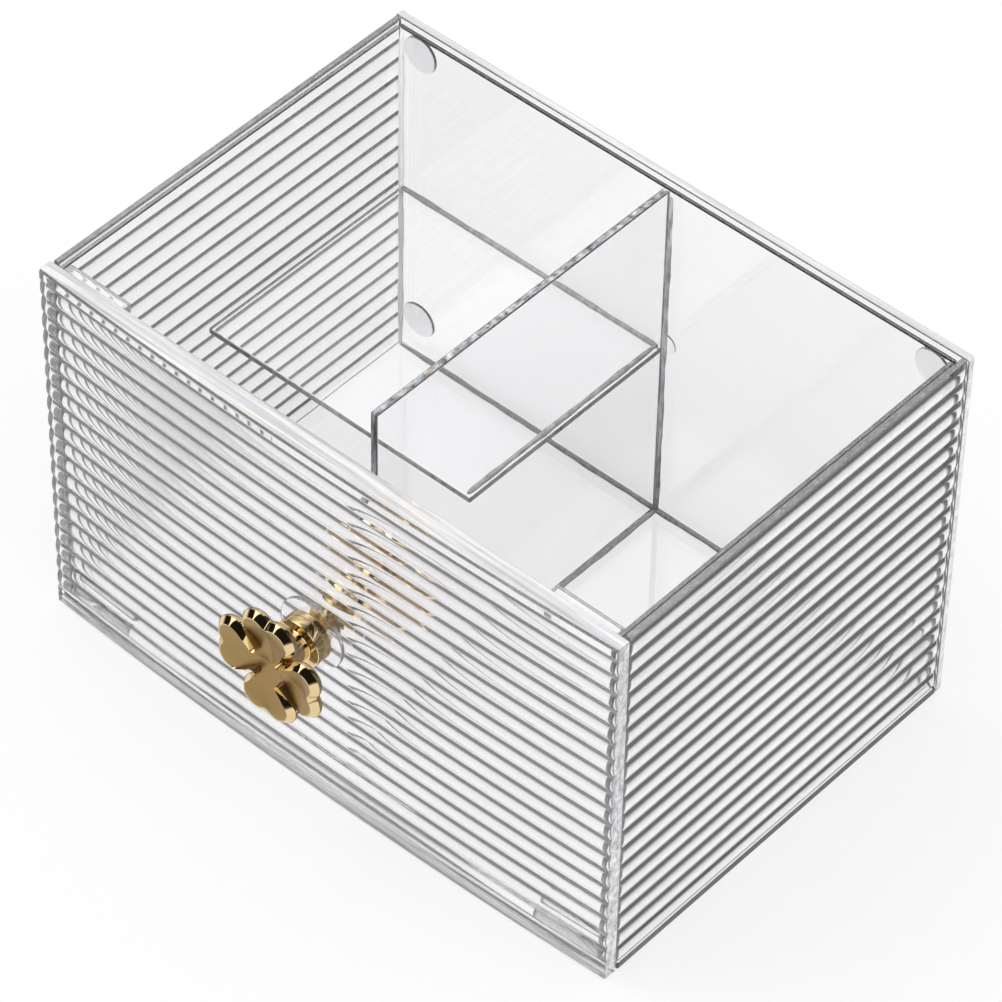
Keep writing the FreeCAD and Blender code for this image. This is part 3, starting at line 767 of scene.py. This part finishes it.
class BOX_OT_tray(bpy.types.Operator):
    """Make the floor, walls, divider, shelf and corner blocks of the drawer's tray"""
    bl_idname = "box.tray"
    bl_label = "Tray"

    def execute(self, context):
        # Each tray panel's level of painted light and shade on its cut edges, lower where it stands in shade.
        slab_piece(context, "tray_floor", DRAWER, tone=0.3, cover=0.7, rounding=2.0, stress=0.3)
        slab_piece(context, "tray_left_wall", DRAWER, tone=0.5, cover=0.6)
        slab_piece(context, "tray_right_wall", DRAWER, tone=0.4, cover=0.6, stress=0.2)
        slab_piece(context, "divider", DRAWER, tone=0.55, stress=1.6)
        slab_piece(context, "shelf", DRAWER, tone=0.45, cover=0.7, stress=0.5)
        self.back_wall(context)
        self.glue_seams(context)
        for level in ("lower", "upper"):
            for side in ("left", "right"):
                slab_piece(context, "corner_block_%s_%s" % (level, side), DRAWER, tone=1.0, cover=0.3)
        return {"FINISHED"}

    def back_wall(self, context):
        """The flat wall, and the round boss on its rear as a piece of its own."""
        tray = context.scene.box_tray
        high = np.array(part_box("tray_back_wall")[1])
        # The back wall's cut edges are painted dark, as in shade.
        slab_piece(context, "tray_back_wall", DRAWER, tone=0.15, rounding=1.6,
                   high=high - [0, tray.boss_height, 0])
        rise = tray.boss_height + context.scene.box_panels.seam
        outline = np.array([[0, 0], [tray.boss_radius, 0], [tray.boss_radius, rise], [0, rise]])
        divider_right, shelf_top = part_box("divider")[1][0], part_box("shelf")[1][2]
        centre = np.array([divider_right, high[1], shelf_top + tray.boss_above_shelf])
        points, normals, faces = disc(outline, 0.06 * MM, centre)
        look = finish_of(context, "clear_plastic")
        boss = put("tray_back_boss", points, faces, look, DRAWER, "clear_plastic", normals)
        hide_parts("tray_back_wall")

    def glue_seams(self, context):
        """Uneven beads of clear glue in the corners where the panels inside the tray meet."""
        radius = context.scene.box_tray.glue_radius
        away = 1.35 * radius        # from a bead's middle to the two faces: clear of them where it swells
        (left, ahead, _), (right, _, top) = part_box("divider")
        back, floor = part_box("tray_back_wall")[0][1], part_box("tray_floor")[1][2]
        (_, shelf_front, _), (_, _, shelf_top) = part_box("shelf")
        wall_left, wall_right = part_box("tray_left_wall")[1][0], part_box("tray_right_wall")[0][0]
        high, low, y = shelf_top + away, floor + away, back - away
        beside, corner, top = right + away, wall_left + away, top - radius
        # The fourth number of each bead is its level of painted light and shade: grey beads as if shaded, and
        # the bead from the corner block to the back painted brighter than white.
        for name, start, end, tone, stress in (
            ("shelf_to_back", (wall_left, y, high), (left, y, high), 0.62, 0.2),
            ("divider_to_back", (beside, y, floor), (beside, y, top), 0.6, 1.5),
            ("shelf_to_divider", (left - away, shelf_front, high), (left - away, back, high), 0.7, 0.4),
            ("floor_to_back", (wall_left, y, low), (wall_right, y, low), 0.45, 0.3),
            ("divider_to_floor", (beside, ahead, low), (beside, back, low), 0.6, 0.4),
            ("corner_to_back", (corner, y, floor), (corner, y, top), 1.8, 0.0),
        ):
            self.bead(context, name + "_seam", np.array(start), np.array(end), radius, tone, stress)

    def bead(self, context, name, start, end, radius, tone, stress, around=16, step=0.7 * MM):
        """A tube along a straight line. Its radius swells and shrinks with two sine waves of the way
        along, and runs out at both ends, as the root of 1 less the 24th power of the way from the middle.
        Each bead starts its waves at another place, which follows from its level of painted light and shade;
        that level also sets how light its cloudy glue is painted."""
        length = np.linalg.norm(end - start)
        ahead = (end - start) / length
        way = np.linspace(0, 1, int(length / step))
        slow = 0.13 * np.sin(way * length / (3.3 * MM) + tone * 9)
        quick = 0.08 * np.sin(way * length / (1.2 * MM) + 1)
        swell = radius * (1 + slow + quick) * np.sqrt(1 - (2 * way - 1) ** 24)
        first = np.cross(ahead, [0.3, 0.5, 0.8])
        first /= np.linalg.norm(first)
        second = np.cross(ahead, first)
        turn = np.arange(around) * 2 * math.pi / around
        out = np.cos(turn)[:, None] * first + np.sin(turn)[:, None] * second
        points = (start + way[:, None, None] * (end - start) + swell[:, None, None] * out).reshape(-1, 3)
        points, _, faces = merged(points, points, grid_faces(len(way), around))
        put(name, points, faces, finish_of(context, "clear_plastic"), DRAWER, "clear_plastic",
            edge=1.0, tone=tone, stress=stress)


class BOX_OT_drawer_front(bpy.types.Operator):
    """Make the bowed drawer front with its ribs, plain bands and lip"""
    bl_idname = "box.drawer_front"
    bl_label = "Drawer front"

    def execute(self, context):
        """The outline carried from end to end. At each place it moves back by what a circle through the
        middle and both ends of the bow leaves there: all of that at the ribs, less in the skin behind
        them, and nothing at the flat inner face."""
        panels = context.scene.box_panels
        low, high = np.array(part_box("drawer_front"))
        half = high[0]
        points, normals = softened(self.outline(panels, low, high), panels.softness)
        bow_radius = (half ** 2 + panels.bow ** 2) / (2 * panels.bow)

        def place(along, line, facing, lean):
            root = math.sqrt(bow_radius ** 2 - along ** 2)
            share = np.clip((line[:, 0] - FLAT_SKIN) / BENT_SKIN, 0, 1)
            share = share * share * (3 - 2 * share)
            y = high[1] - line[:, 0] + share * (bow_radius - root)
            where = np.stack([np.full(len(y), along), y, line[:, 1]], 1)
            upright, leaning = math.cos(lean), math.sin(lean)
            aside = facing[:, 0] * share * (along / root) * upright + leaning
            bent = np.stack([aside, -facing[:, 0] * upright, facing[:, 1] * upright], 1)
            return where, bent / np.linalg.norm(bent, axis=1)[:, None]

        where, facing, faces = carried(points, normals, -half, half, panels.front_rim, place, between=38)
        faces = [face[::-1] for face in faces]
        look = finish_of(context, "clear_plastic")
        # The front's cut edges get a level of painted light a little above white.
        piece = put("drawer_front_bowed", where, faces, look, DRAWER, "clear_plastic", facing,
                    edge=cut_share(facing, 0, 0.75, 0.6), tone=1.05, crosswise=1.0,
                    stress=cut_share(facing, 0, 0.25, 0.7))
        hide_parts("drawer_front")
        return {"FINISHED"}

    def outline(self, panels, low, high):
        """The front's section at its middle, as (way ahead of its flat inner face, height), from the
        bottom up: lip, fine groove, ribs, plain band and a quarter round at the top."""
        bottom, top, crest = low[2], high[2], high[1] - low[1]
        lip_top = bottom + panels.lip_height
        groove_top = lip_top + panels.lip_groove_width
        ribs_low, ribs_high = groove_top + panels.bottom_margin, top - panels.top_margin
        heights = np.linspace(ribs_low, ribs_high, STEPS_A_RIB * panels.rib_count + 1)
        ribs = rib_depth(heights, ribs_low, ribs_high, panels.rib_count, panels.front_rib_height)
        quarter = np.linspace(0, math.pi / 2, 12)
        round_edge = panels.front_rounding * np.stack([np.cos(quarter) - 1, np.sin(quarter) - 1], 1)
        step = 0.1 * MM
        return np.concatenate([
            [[panels.seam, bottom], [crest - panels.front_rim, bottom], [crest, bottom + panels.front_rim]],
            [[crest, lip_top], [crest - panels.lip_groove_depth, (lip_top + groove_top) / 2]],
            [[crest, groove_top], [crest, ribs_low - step]],
            np.stack([crest - ribs, heights], 1),
            [[crest, ribs_high + step]],
            round_edge + [crest, top],
            [[panels.seam, top]],
        ])


class BOX_OT_knob(bpy.types.Operator):
    """Make the clover, its stem and the clear washer of the knob"""
    bl_idname = "box.knob"
    bl_label = "Knob"

    def execute(self, context):
        self.clover(context)
        self.stem(context)
        self.washer(context)
        return {"FINISHED"}

    def outline(self, knob, inset):
        """Outline of the clover moved inwards: each leaf is a rounded notch between two round lobes, with
        a straight side and the rounded end of a gap on either hand, each with as many points at every
        inset."""
        lobe, gap = knob.lobe_radius - inset, knob.gap_radius + knob.gap_share * inset
        gap_at = (knob.gap_to_centre + knob.gap_radius) * math.sqrt(0.5)
        along, aside = knob.lobe_along - gap_at, knob.lobe_aside - gap_at
        slope = math.atan2(aside, along) + math.asin((lobe + gap) / math.hypot(along, aside))
        notch = knob.notch_radius + inset
        notch_along = knob.lobe_along + math.sqrt((lobe + notch) ** 2 - knob.lobe_aside ** 2)
        lean = math.asin(knob.lobe_aside / (lobe + notch))
        bend = np.linspace(math.pi, math.pi - lean, 6)[:-1]
        arc = np.linspace(-lean, slope + math.pi / 2, 22)
        upper = np.concatenate([
            np.stack([notch_along + notch * np.cos(bend), notch * np.sin(bend)], 1),
            np.stack([knob.lobe_along + lobe * np.cos(arc), knob.lobe_aside + lobe * np.sin(arc)], 1),
        ])
        hollow = np.linspace(slope - math.pi / 2, -3 * math.pi / 4, 7)
        end = np.stack([gap_at + gap * np.cos(hollow), gap_at + gap * np.sin(hollow)], 1)
        share = np.linspace(0, 1, 6)[1:-1, None]
        side = upper[-1] * (1 - share) + end[0] * share
        half = np.concatenate([upper, side, end])
        leaf = np.concatenate([half[::-1] * [1, -1], half[1:]])[1:]
        quarters = ((1, 0), (0, 1), (-1, 0), (0, -1))
        return np.concatenate([leaf @ np.array([[c, s], [-s, c]]) for c, s in quarters])

    def clover(self, context):
        """Rings of the outline: round the rear rim and up the side, which leans in a little more towards
        the face, then shrinking to the middle of the face, which is a shallow bowl creased down each
        leaf's middle line."""
        knob = context.scene.box_knob
        low, high = np.array(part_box("knob_clover"))
        rise = high[1] - low[1]
        turn, share = np.linspace(0, math.pi / 2, 12), np.linspace(0, 1, 9)
        rear_rise, lean = 1.15 * knob.rear_rim, 1.1     # height of the rear rim, and how late the side leans
        insets = np.concatenate([knob.rear_rim * (1 - np.sin(turn)), knob.slant * share ** lean])
        levels = np.concatenate([rear_rise * (1 - np.cos(turn)), rise - knob.slant_height * (1 - share)])
        rings = [self.outline(knob, inset) for inset in insets]
        heights = [np.full(len(rings[0]), level) for level in levels]
        side_rings, rim = len(rings), rings[-1]
        angle = np.arctan2(rim[:, 1], rim[:, 0])
        across = np.minimum(np.abs(np.sin(angle)), np.abs(np.cos(angle)))
        rim_reach = np.hypot(rim[:, 0], rim[:, 1])
        for share in np.linspace(0, 1, 26)[1:]:
            reach = rim_reach * (1 - share)
            bowl = knob.dish * np.maximum(0, 1 - (reach / knob.dish_radius) ** 2)
            start = 1 - np.exp(-share * rim_reach / CREASE_START)
            depth = bowl + knob.crease * start * np.exp(-reach * across / knob.crease_width)
            rings.append(rim * (1 - share))
            heights.append(rise - (depth if share < 1 else np.full(len(rim), depth.mean())))
        flat, middle = np.concatenate(rings), (low[2] + high[2]) / 2
        points = np.stack([flat[:, 0], high[1] - np.concatenate(heights), middle + flat[:, 1]], 1)
        count = len(rim)
        face = np.repeat(np.arange(len(rings)) >= side_rings, count)
        rear = list(range(count))[::-1]
        points, face, faces = merged(points, face, grid_faces(len(rings), count).tolist() + [rear])
        look = finish_of(context, "gold_metal")
        piece = put("knob_clover_plate", points, faces, look, DRAWER, "gold_metal", face=face)
        piece.data.set_sharp_from_angle(angle=math.radians(32))
        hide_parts("knob_clover")

    def stem(self, context):
        """The stem's outline, a drum with a soft rim and a neck that flares into the clover, turned."""
        knob = context.scene.box_knob
        low, high = np.array(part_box("knob_stem"))
        long, drum, neck = high[1] - low[1], knob.drum_radius, knob.neck_radius
        turn = np.linspace(0, math.pi / 2, 10)
        flare = knob.neck_flare * np.stack([1 - np.cos(turn), np.sin(turn) - 1], 1)
        outline = np.concatenate([
            [[0, 0], [drum, 0], [drum, knob.drum_length], [neck, knob.drum_length]],
            flare + [neck, long],
            [[0, long]],
        ])
        centre = np.array([0, high[1], (low[2] + high[2]) / 2])
        points, normals, faces = disc(outline, 0.22 * MM, centre, around=96)
        look = finish_of(context, "polished_gold")
        piece = put("knob_stem_turned", points, faces, look, DRAWER, "gold_metal", normals)
        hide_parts("knob_stem")

    def washer(self, context):
        """A clear ring with a softened outline, turned about the knob's axis."""
        low, high = np.array(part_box("knob_washer"))
        seam, hole = context.scene.box_panels.seam, context.scene.box_knob.washer_hole
        radius, rise = (high[0] - low[0]) / 2, high[1] - low[1] - seam
        outline = np.array([[hole, seam], [radius, seam], [radius, rise], [hole, rise]])
        centre = np.array([0, high[1], (low[2] + high[2]) / 2])
        points, normals, faces = ring(outline, 0.12 * MM, centre)
        look = finish_of(context, "clear_plastic")
        piece = put("knob_washer_ring", points, faces, look, DRAWER, "clear_plastic", normals)
        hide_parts("knob_washer")


class BOX_OT_screw(bpy.types.Operator):
    """Give the slotted screw behind the drawer front its plated finish"""
    bl_idname = "box.screw"
    bl_label = "Screw"

    def execute(self, context):
        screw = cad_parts["knob_screw"]
        for slot in screw.material_slots:
            slot.material = finish_of(context, "screw_metal")
        return {"FINISHED"}


class BOX_OT_studio(bpy.types.Operator):
    """Make the floor, the lamps, the world and the camera"""
    bl_idname = "box.studio"
    bl_label = "Studio"

    def execute(self, context):
        scene, studio = context.scene, context.scene.box_studio
        self.floor(studio)
        self.world(scene, studio)
        self.lamps()
        self.camera(scene, studio)
        scene.view_settings.view_transform = "Standard"
        scene.cycles.max_bounces = CLEAR_FACES
        scene.cycles.transmission_bounces = CLEAR_FACES
        scene.cycles.glossy_bounces = CLEAR_FACES
        return {"FINISHED"}

    def floor(self, studio):
        """A wide flat sheet under the box, lifted towards white where the camera or the plastic sees it,
        and dark in what the plastic mirrors inside, less so in front of the box."""
        reach, drop = 4.0, 0.2 * MM
        corners = [(x * reach, y * reach, -drop) for x, y in ((-1, -1), (1, -1), (1, 1), (-1, 1))]
        mesh = bpy.data.meshes.new("floor")
        mesh.from_pydata(corners, [], [[0, 1, 2, 3]])
        tree = material("pale floor")
        grain = tree.noise(tree.place(), scale=40.0, detail=2.0)
        lit = tree.node("ShaderNodeBsdfPrincipled", {
            "Base Color": tree.tint(grain, opaque(studio.floor_colour, 0.99), opaque(studio.floor_colour)),
            "Roughness": 0.8,
            "Specular IOR Level": 0.1,
        })
        bounced = tree.bounced()
        seen = tree.math("MAXIMUM", tree.ray("Is Camera Ray"), tree.ray("Is Glossy Ray"))
        seen = tree.math("MAXIMUM", seen, tree.ray("Is Transmission Ray"))
        lift = seen * (studio.floor_lift + bounced * (1.0 - studio.floor_lift))
        ahead = tree.math("LESS_THAN", tree.part(tree.place(), "Y"), FRONT_Y)
        dark = studio.dark_floor * (1.0 + ahead * studio.front_gain)
        dark = dark * tree.made_up(studio.deep_gain, DEEP_FACES, DEEP_MOST)
        white = tree.made_up(studio.face_gain)
        glow = tree.tint(bounced, tree.grey(white), tree.grey(dark))
        glow = tree.node("ShaderNodeEmission", {"Color": glow, "Strength": 1.0})
        mesh.materials.append(tree.finish(tree.node("ShaderNodeMixShader", {0: lift, 1: lit, 2: glow})))
        sheet = bpy.data.objects.new("floor", mesh)
        bpy.context.collection.objects.link(sheet)
        sheet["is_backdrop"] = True

    def world(self, scene, studio):
        """White for the camera and for light that goes straight through the plastic, and an even light on
        all else. Metal mirrors a dark room with soft boxes over a pale floor, and what the plastic
        mirrors inside is dark too, but less so in front of the box and bright behind its left side."""
        scene.world = bpy.data.worlds.new("studio")
        tree = Tree(scene.world)
        direction = tree.node("ShaderNodeTexCoord", output="Generated")
        bounced, camera = tree.bounced(), tree.ray("Is Camera Ray")
        room = self.room(tree, direction, studio.mirror_light)
        ahead = tree.math("LESS_THAN", tree.part(direction, "Y"), 0.0)
        left = tree.math("LESS_THAN", tree.part(direction, "X"), 0.0)
        dark = studio.dark_light * (1.0 + ahead * studio.front_gain)
        dark = dark * tree.made_up(studio.deep_gain, DEEP_FACES, DEEP_MOST)
        dark = dark + (1.0 - ahead) * left * studio.back_light
        room = tree.tint(bounced, room, tree.grey(dark))
        straight = tree.ray("Is Transmission Ray") * (1.0 - bounced)
        room = tree.tint(straight, room, tree.grey(tree.made_up(studio.face_gain)))
        even = tree.math("MAXIMUM", camera, tree.math("GREATER_THAN", tree.ray("Diffuse Depth"), 0.5))
        strength = 1.0 - (1.0 - camera) * (1.0 - studio.world_light) * even
        tree.finish(tree.node("ShaderNodeBackground", {
            "Color": tree.tint(even, room, WHITE), "Strength": strength}))

    def room(self, tree, direction, dark):
        """What polished metal mirrors: a pale floor, dark walls and two soft boxes."""
        floor, wall = (0.4, 0.4, 0.4, 1), (dark, dark, dark, 1)
        height = tree.part(direction, "Z") * 0.5 + 0.5
        stops = ((0.5, floor), (0.58, wall), (1.0, wall))
        room = tree.node("ShaderNodeValToRGB", {"Fac": height}, stops=stops)
        for axis, cosine in (((-0.6, 0.1, 0.8), 0.88), ((0.1, 0.75, 0.65), 0.90)):
            near = tree.node("ShaderNodeVectorMath", {
                0: direction, 1: tuple(np.array(axis) / np.linalg.norm(axis))}, output="Value",
                operation="DOT_PRODUCT")
            inside = tree.node("ShaderNodeMapRange", {
                "Value": near, "From Min": cosine, "From Max": cosine + 0.02})
            room = tree.tint(inside, room, SOFT_BOX)
        return room

    def lamps(self):
        """Two square lamps that look at the box, on either side of the camera."""
        aimed_at, size = np.array([0, 0, 0.04]), 1.2
        for name, place, power in (("key", (-0.9, -0.5, 1.5), 9.0), ("fill", (1.1, -0.3, 1.2), 5.0)):
            lamp = bpy.data.lights.new(name, "AREA")
            lamp.size, lamp.energy = size, power
            holder = bpy.data.objects.new(name, lamp)
            holder.location = place
            x, y, z = aimed_at - np.array(place)
            holder.rotation_euler = (math.atan2(math.hypot(x, y), -z), 0, math.atan2(x, -y) + math.pi)
            bpy.context.collection.objects.link(holder)

    def camera(self, scene, studio):
        lens = bpy.data.cameras.new("camera")
        lens.lens, lens.sensor_width = studio.lens, 36
        holder = bpy.data.objects.new("camera", lens)
        holder.location, holder.rotation_euler = studio.camera_place, studio.camera_turn
        scene.collection.objects.link(holder)
        scene.camera = holder


class BOX_PT_panel(bpy.types.Panel):
    """Lists the settings and the steps that make the box"""
    bl_label = "Clear box"
    bl_idname = "BOX_PT_panel"
    bl_space_type = "VIEW_3D"
    bl_region_type = "UI"
    bl_category = "Clear box"

    def draw(self, context):
        for group in SETTINGS:
            settings = getattr(context.scene, group)
            column = self.layout.column(align=True)
            for name in settings.bl_rna.properties.keys():
                if name not in ("rna_type", "name"):
                    column.prop(settings, name)
        for operator in OPERATORS:
            self.layout.operator(operator.bl_idname)


OPERATORS = (
    BOX_OT_case_panels, BOX_OT_bumper_pads, BOX_OT_tray, BOX_OT_drawer_front, BOX_OT_knob, BOX_OT_screw,
    BOX_OT_studio,
)


def register():
    for group in SETTINGS.values():
        bpy.utils.register_class(group)
    for name, group in SETTINGS.items():
        setattr(bpy.types.Scene, name, PointerProperty(type=group))
    for part in OPERATORS + (BOX_PT_panel,):
        bpy.utils.register_class(part)


def unregister():
    for part in (BOX_PT_panel,) + OPERATORS[::-1]:
        bpy.utils.unregister_class(part)
    for name, group in SETTINGS.items():
        delattr(bpy.types.Scene, name)
        bpy.utils.unregister_class(group)


def main():
    register()
    bpy.ops.box.case_panels()
    bpy.ops.box.bumper_pads()
    bpy.ops.box.tray()
    bpy.ops.box.drawer_front()
    bpy.ops.box.knob()
    bpy.ops.box.screw()
    bpy.ops.box.studio()
    boxes = {"loaded": LOADED_BOX, "finished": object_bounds()}
    boxes = {name: [list(map(float, corner)) for corner in box] for name, box in boxes.items()}


if __name__ == "__main__":
    main()
